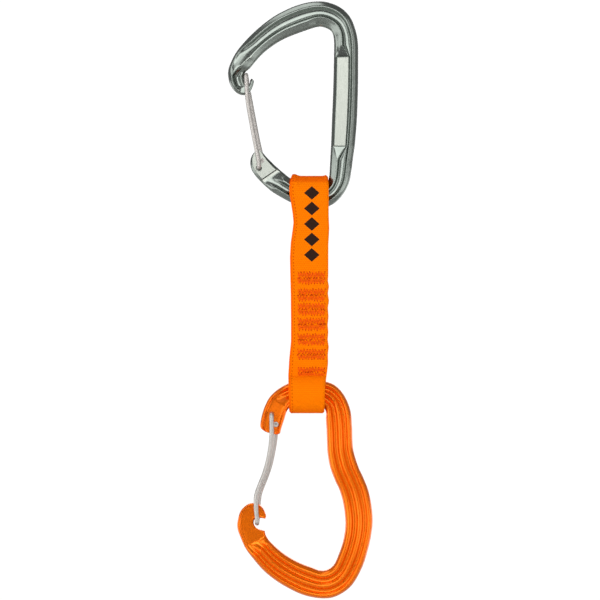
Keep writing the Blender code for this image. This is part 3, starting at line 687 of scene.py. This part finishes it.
# Painted shade: a dark band on the front where the strip rolls over the crown, and a fainter one at
# the foot.
crown_painted_shade = sums("MULTIPLY", front_face, add(tree, "MapRange", {
    "Value": spot_z, "From Min": -74.9, "From Max": -73.6}).outputs[0])  # fmt: skip
foot_painted_shade = add(tree, "MapRange", {
    "Value": spot_z, "From Min": -180.9, "From Max": -182.2}).outputs[0]  # fmt: skip
rolled_painted_shade = sums("MAXIMUM", sums("MULTIPLY", crown_painted_shade, 0.5), sums("MULTIPLY", foot_painted_shade, 0.12))
cloth = tinted(rolled_painted_shade, (0.72, 0.055, 0.0), cloth)
selvedge = sums("MULTIPLY", sums("LESS_THAN", across, 1.1), 0.45)
cloth = tinted(selvedge, (0.80, 0.06, 0.0), cloth)
beside = sums("LESS_THAN", sums("ABSOLUTE", sums("SUBTRACT", across, 1.65)), 0.28)
beaded = sums("GREATER_THAN", sums("SINE", sums("MULTIPLY", along, FULL_TURN / BEAD)), 0.1)
beads = sums("MULTIPLY", sums("MULTIPLY", beside, beaded), 0.6)
cloth = tinted(beads, (0.42, 0.02, 0.0), cloth)

# The print: a column of diamonds on the outside of the front.
PRINT_TOP, PRINT_FOOT, PRINT_MIDDLE = -75.9, -112.4, -3.9
DIAMOND_PITCH, DIAMOND_HALF_WIDTH, DIAMOND_SLOPE = 7.3, 3.7, 2.25
pitches = sums("DIVIDE", sums("ADD", spot_z, -PRINT_FOOT), DIAMOND_PITCH)
up = sums("ABSOLUTE", sums("SUBTRACT", sums("FRACT", pitches), 0.5))
aside = sums("ABSOLUTE", sums("ADD", spot_x, -PRINT_MIDDLE))
from_middle = sums("ADD", sums("MULTIPLY", up, DIAMOND_SLOPE),
                   sums("DIVIDE", aside, DIAMOND_HALF_WIDTH))  # fmt: skip
diamond = sums("LESS_THAN", from_middle, 1.0)
printed = sums("MULTIPLY", sums("GREATER_THAN", spot_z, PRINT_FOOT),
               sums("LESS_THAN", spot_z, PRINT_TOP))  # fmt: skip
printed = sums("MULTIPLY", sums("MULTIPLY", printed, diamond), front_face)
printed = sums("MULTIPLY", printed, sums("LESS_THAN", along, INNER_FACE / 2))
cloth = tinted(sums("MULTIPLY", printed, 0.985), (0.018, 0.012, 0.01), cloth)
tree.links.new(cloth, shader.inputs["Base Color"])
shader.inputs["Roughness"].default_value = 0.8
shader.inputs["Specular IOR Level"].default_value = 0.02
yarns = add(tree, "Bump", {"Height": height, "Strength": 0.4, "Distance": 0.0001})
fluff = add(tree, "Bump", {"Height": fuzz.outputs[0], "Strength": 0.35, "Distance": 0.00008,
                           "Normal": yarns.outputs[0]})  # fmt: skip
tree.links.new(fluff.outputs[0], shader.inputs["Normal"])

# The upper and lower halves meet edge to edge under the fourth tack.
EYE_Z, EYE_R = -80.7, 9.05
HALF_SEWN, SPLIT_Z = 1.25, -141.0
upper_route = [(-HALF_SEWN, SPLIT_Z), (-HALF_SEWN, -114.5), (-HALF_SEWN - 0.1, -113.0)]
upper_route += arc(EYE_Z, EYE_R, 180 + 14.5, -14.5, 60)
upper_route += [(HALF_SEWN + 0.1, -113.0), (HALF_SEWN, -114.5), (HALF_SEWN, SPLIT_Z)]


def crown_lift(x, y, z):
    """How the webbing rides up at its two corners where it rolls over the bar."""
    near = max(0.0, min(1.0, (z + 78.0) / 6.0))
    left = 0.95 * math.exp(-((x + 12.2) / 1.6) ** 2)
    right = 0.45 * math.exp(-((x - 3.2) / 1.2) ** 2)
    drop = -1.3 * max(0.0, (-13.0 - x) / 1.2) ** 2
    return near * (left + right + drop)


sling_top = ribbon("webbing_sling_upper_half", upper_route, webbing, lift=crown_lift)
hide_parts("webbing_upper_loop")
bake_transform(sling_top)  # fmt: skip

LOWER_EYE_Z, LOWER_EYE_R = -175.0, 8.55
lower_route = [(HALF_SEWN, SPLIT_Z), (HALF_SEWN, -165.6), (1.6, -166.5), (2.6, -167.3)]
lower_route += arc(LOWER_EYE_Z, LOWER_EYE_R, 62, -242, 70)
lower_route += [(-2.6, -167.3), (-1.6, -166.5), (-HALF_SEWN, -165.6), (-HALF_SEWN, SPLIT_Z)]
sling_foot = ribbon("webbing_sling_lower_half", lower_route, webbing)
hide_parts("webbing_sewn_strap")
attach(sling_foot, "sling_strap")

lapped = ribbon("webbing_lapped_ends", [(0.0, -166.0), (0.0, -115.5)], webbing, half=0.58)
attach(lapped, "sling_strap")


# ---------------------------------------------------------------- bar tacks
# The seven bar tacks: each a block of bonded polyamide thread, machine sewn in zigzag through all
# the plies, so that it shows on the front and the back, with a knot pulled in at most turns.
thread, tree, shader = new_material("tack_thread")
place = add(tree, "TexCoord").outputs["Object"]
twist = add(tree, "TexNoise", {"Vector": place, "Scale": 2500, "Detail": 2})
dye = add(tree, "Mix", {0: twist.outputs[0], 6: (0.72, 0.06, 0.003, 1), 7: (1.0, 0.14, 0.004, 1)},
          data_type="RGBA")  # fmt: skip
tree.links.new(dye.outputs[2], shader.inputs["Base Color"])
shader.inputs["Roughness"].default_value = 0.7
shader.inputs["Specular IOR Level"].default_value = 0.05
plies = add(tree, "Bump", {"Height": twist.outputs[0], "Strength": 0.4, "Distance": 0.00006})
tree.links.new(plies.outputs[0], shader.inputs["Normal"])
# The knots are painted a deeper red than the thread: painted shade at the needle holes where the
# thread is pulled in.
knot, tree, shader = new_material("tack_knot_painted_shade")
place = add(tree, "TexCoord").outputs["Object"]
pinch = add(tree, "TexNoise", {"Vector": place, "Scale": 900, "Detail": 2})
needle_hole_painted_shade = add(tree, "Mix", {0: pinch.outputs[0], 6: (0.40, 0.016, 0.002, 1),
                         7: (0.66, 0.045, 0.003, 1)}, data_type="RGBA")  # fmt: skip
tree.links.new(needle_hole_painted_shade.outputs[2], shader.inputs["Base Color"])
shader.inputs["Roughness"].default_value = 0.8
shader.inputs["Specular IOR Level"].default_value = 0.05

TACK_LEFT, TACK_RIGHT, FACE_Y, TURNS = -10.4, 2.3, 1.93, 19
THREAD_SIDES, KNOT_SIDES = 6, 8
chance = np.random.default_rng(7)


def circle_of(sides):
    return np.arange(sides) / sides * 2 * math.pi


def thread_points(turns, side):
    """Rings of points round a thread that bows out a little from one turn to the next."""
    path = []
    for (x0, y0, z0), (x1, _, z1) in zip(turns, turns[1:]):
        for t in np.linspace(0, 1, 6)[:-1]:
            bow = side * 0.28 * math.sin(math.pi * t) ** 0.6
            path.append((x0 + (x1 - x0) * t, y0 + bow, z0 + (z1 - z0) * t))
    path = np.array(path)
    points = []
    for here, ahead in zip(path, np.gradient(path, axis=0)):
        flat = np.array((-ahead[2], 0, ahead[0]))
        flat /= np.linalg.norm(flat)
        for a in circle_of(THREAD_SIDES):
            points.append(here + 0.2 * math.cos(a) * flat + np.array((0, 0.16 * math.sin(a), 0)))
    return points


def knot_points(x, y, z, side):
    """Three rings of points on the low dome that a knot makes where the thread turns."""
    wide, tall = chance.uniform(0.2, 0.32), chance.uniform(0.3, 0.55)
    return [(x + wide * ring * math.cos(a), y + side * push, z + tall * ring * math.sin(a))
            for ring, push in ((1.0, 0.0), (0.75, 0.2), (0.3, 0.28))
            for a in circle_of(KNOT_SIDES)]  # fmt: skip


for number, (top, bottom) in enumerate(TACKS, 1):
    points, faces, kinds = [], [], []
    middle = (top + bottom) / 2
    for side in (-1, 1):
        for upper, lower in ((top, middle + 0.2), (middle - 0.2, bottom)):
            xs = np.linspace(TACK_LEFT, TACK_RIGHT, TURNS)
            turns = [(x + chance.normal(0, 0.1), side * FACE_Y, z + chance.normal(0, 0.12))
                     for x, z in zip(xs, [upper, lower] * TURNS)]  # fmt: skip
            made = thread_points(turns, side)
            added = wall(len(points), len(made) // THREAD_SIDES, THREAD_SIDES)
            points += made
            faces += added
            kinds += [0] * len(added)
            for x, y, z in turns:
                if chance.random() < 0.25:
                    continue
                start = len(points)
                points += knot_points(x, y, z, side)
                tip = tuple(start + 2 * KNOT_SIDES + k for k in range(KNOT_SIDES))
                added = [*wall(start, 3, KNOT_SIDES), tip]
                faces += added
                kinds += [1] * len(added)
    tack = new_piece(f"bar_tack_{number}_stitches", points, faces, [thread, knot], 60)
    tack.data.polygons.foreach_set("material_index", kinds)
    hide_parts(f"bar_tack_{number}")
    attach(tack, "sling_strap")


# ---------------------------------------------------------------- stage
# The quickdraw hangs in front of a plain white backdrop over a pale floor. Large soft lights
# stand in front, low in front, above and behind, with narrow ones at both sides and low down.
backdrop_paint, tree, shader = new_material("backdrop_paint")
tree.nodes.remove(shader)
glow = add(tree, "Emission", {"Color": (1, 1, 1, 1), "Strength": 1.05})
tree.links.new(glow.outputs[0], tree.nodes["Material Output"].inputs["Surface"])
bpy.ops.mesh.primitive_uv_sphere_add(segments=48, ring_count=24, radius=4.0, location=(0, 0, -0.13))
backdrop = bpy.context.object
backdrop.name = "backdrop"
backdrop.data.materials.append(backdrop_paint)
for ray in ("diffuse", "glossy", "transmission", "volume_scatter", "shadow"):
    setattr(backdrop, "visible_" + ray, False)

floor_paint, tree, shader = new_material("floor_paint")
place = add(tree, "TexCoord").outputs["Object"]
mottle = add(tree, "TexNoise", {"Vector": place, "Scale": 30, "Detail": 4})
pale = add(tree, "Mix", {0: mottle.outputs[0], 6: (0.78, 0.78, 0.77, 1), 7: (0.84, 0.84, 0.83, 1)},
           data_type="RGBA")  # fmt: skip
tree.links.new(pale.outputs[2], shader.inputs["Base Color"])
shader.inputs["Roughness"].default_value = 0.7
bpy.ops.mesh.primitive_cylinder_add(vertices=96, radius=0.6, depth=0.01, location=(0, 0, -0.455))
floor = bpy.context.object
floor.name = "floor"
floor.data.materials.append(floor_paint)

scene = bpy.context.scene
world = bpy.data.worlds.new("studio")
scene.world = world
world.use_nodes = True
tree = world.node_tree
direction = add(tree, "TexCoord").outputs["Generated"]
parts = add(tree, "SeparateXYZ", {0: direction})
upness = add(tree, "MapRange", {"Value": parts.outputs[2], "From Min": -1, "From Max": 1})
sky = add(tree, "ValToRGB", {0: upness.outputs[0]})
sky.color_ramp.elements[0].position = 0.15
sky.color_ramp.elements[0].color = (0.10, 0.10, 0.10, 1)
sky.color_ramp.elements[1].position = 0.95
sky.color_ramp.elements[1].color = (0.26, 0.26, 0.26, 1)
middle = sky.color_ramp.elements.new(0.55)
middle.color = (0.33, 0.33, 0.33, 1)
tree.links.new(sky.outputs[0], tree.nodes["Background"].inputs["Color"])


def softbox(name, place, target, width, height, radiance):
    data = bpy.data.lights.new(name, "AREA")
    data.shape = "RECTANGLE"
    data.size, data.size_y = width, height
    data.energy = radiance * math.pi * width * height
    light = bpy.data.objects.new(name, data)
    light.location = place
    light.rotation_euler = (Vector(target) - Vector(place)).to_track_quat("-Z", "Y").to_euler()
    light.visible_camera = False
    scene.collection.objects.link(light)


centre = (-0.01, 0, -0.13)
softbox("front_light", (-0.15, -1.75, 0.48), (-0.01, 0, 0.3), 1.2, 1.2, 3.3)
softbox("low_front_light", (-0.1, -1.2, -1.45), (-0.01, 0, -0.2), 1.2, 0.6, 2.0)
softbox("top_light", (-0.3, -0.05, 1.1), centre, 1.1, 0.7, 2.0)
softbox("left_light", (-1.1, -0.5, 0.3), (-0.01, 0, -0.05), 0.6, 0.9, 2.1)
softbox("right_light", (1.1, -0.5, 0.3), (-0.01, 0, -0.05), 0.4, 0.9, 1.2)
softbox("low_left_light", (-1.0, -0.5, -0.58), (-0.01, 0, -0.25), 1.6, 0.85, 2.1)
softbox("low_right_light", (1.0, -0.5, -0.58), (-0.01, 0, -0.25), 1.6, 0.85, 1.9)
softbox("back_light", (0.1, 1.75, 0.1), (-0.01, 0, -0.05), 1.2, 1.2, 2.0)
softbox("low_back_left_light", (-0.9, 0.95, -0.5), (-0.01, 0, -0.25), 1.0, 0.7, 1.3)
softbox("low_back_right_light", (0.9, 0.95, -0.5), (-0.01, 0, -0.25), 1.0, 0.7, 1.3)

camera_data = bpy.data.cameras.new("camera")
camera_data.lens = 151
camera_data.sensor_width = 36
camera_data.clip_start = 0.05
camera = bpy.data.objects.new("camera", camera_data)
camera.location = (-0.0095, -1.2, -0.1302)
camera.rotation_euler = (math.radians(90), 0, 0)
scene.collection.objects.link(camera)
scene.camera = camera
scene.view_settings.view_transform = "Standard"
scene.view_settings.look = "None"
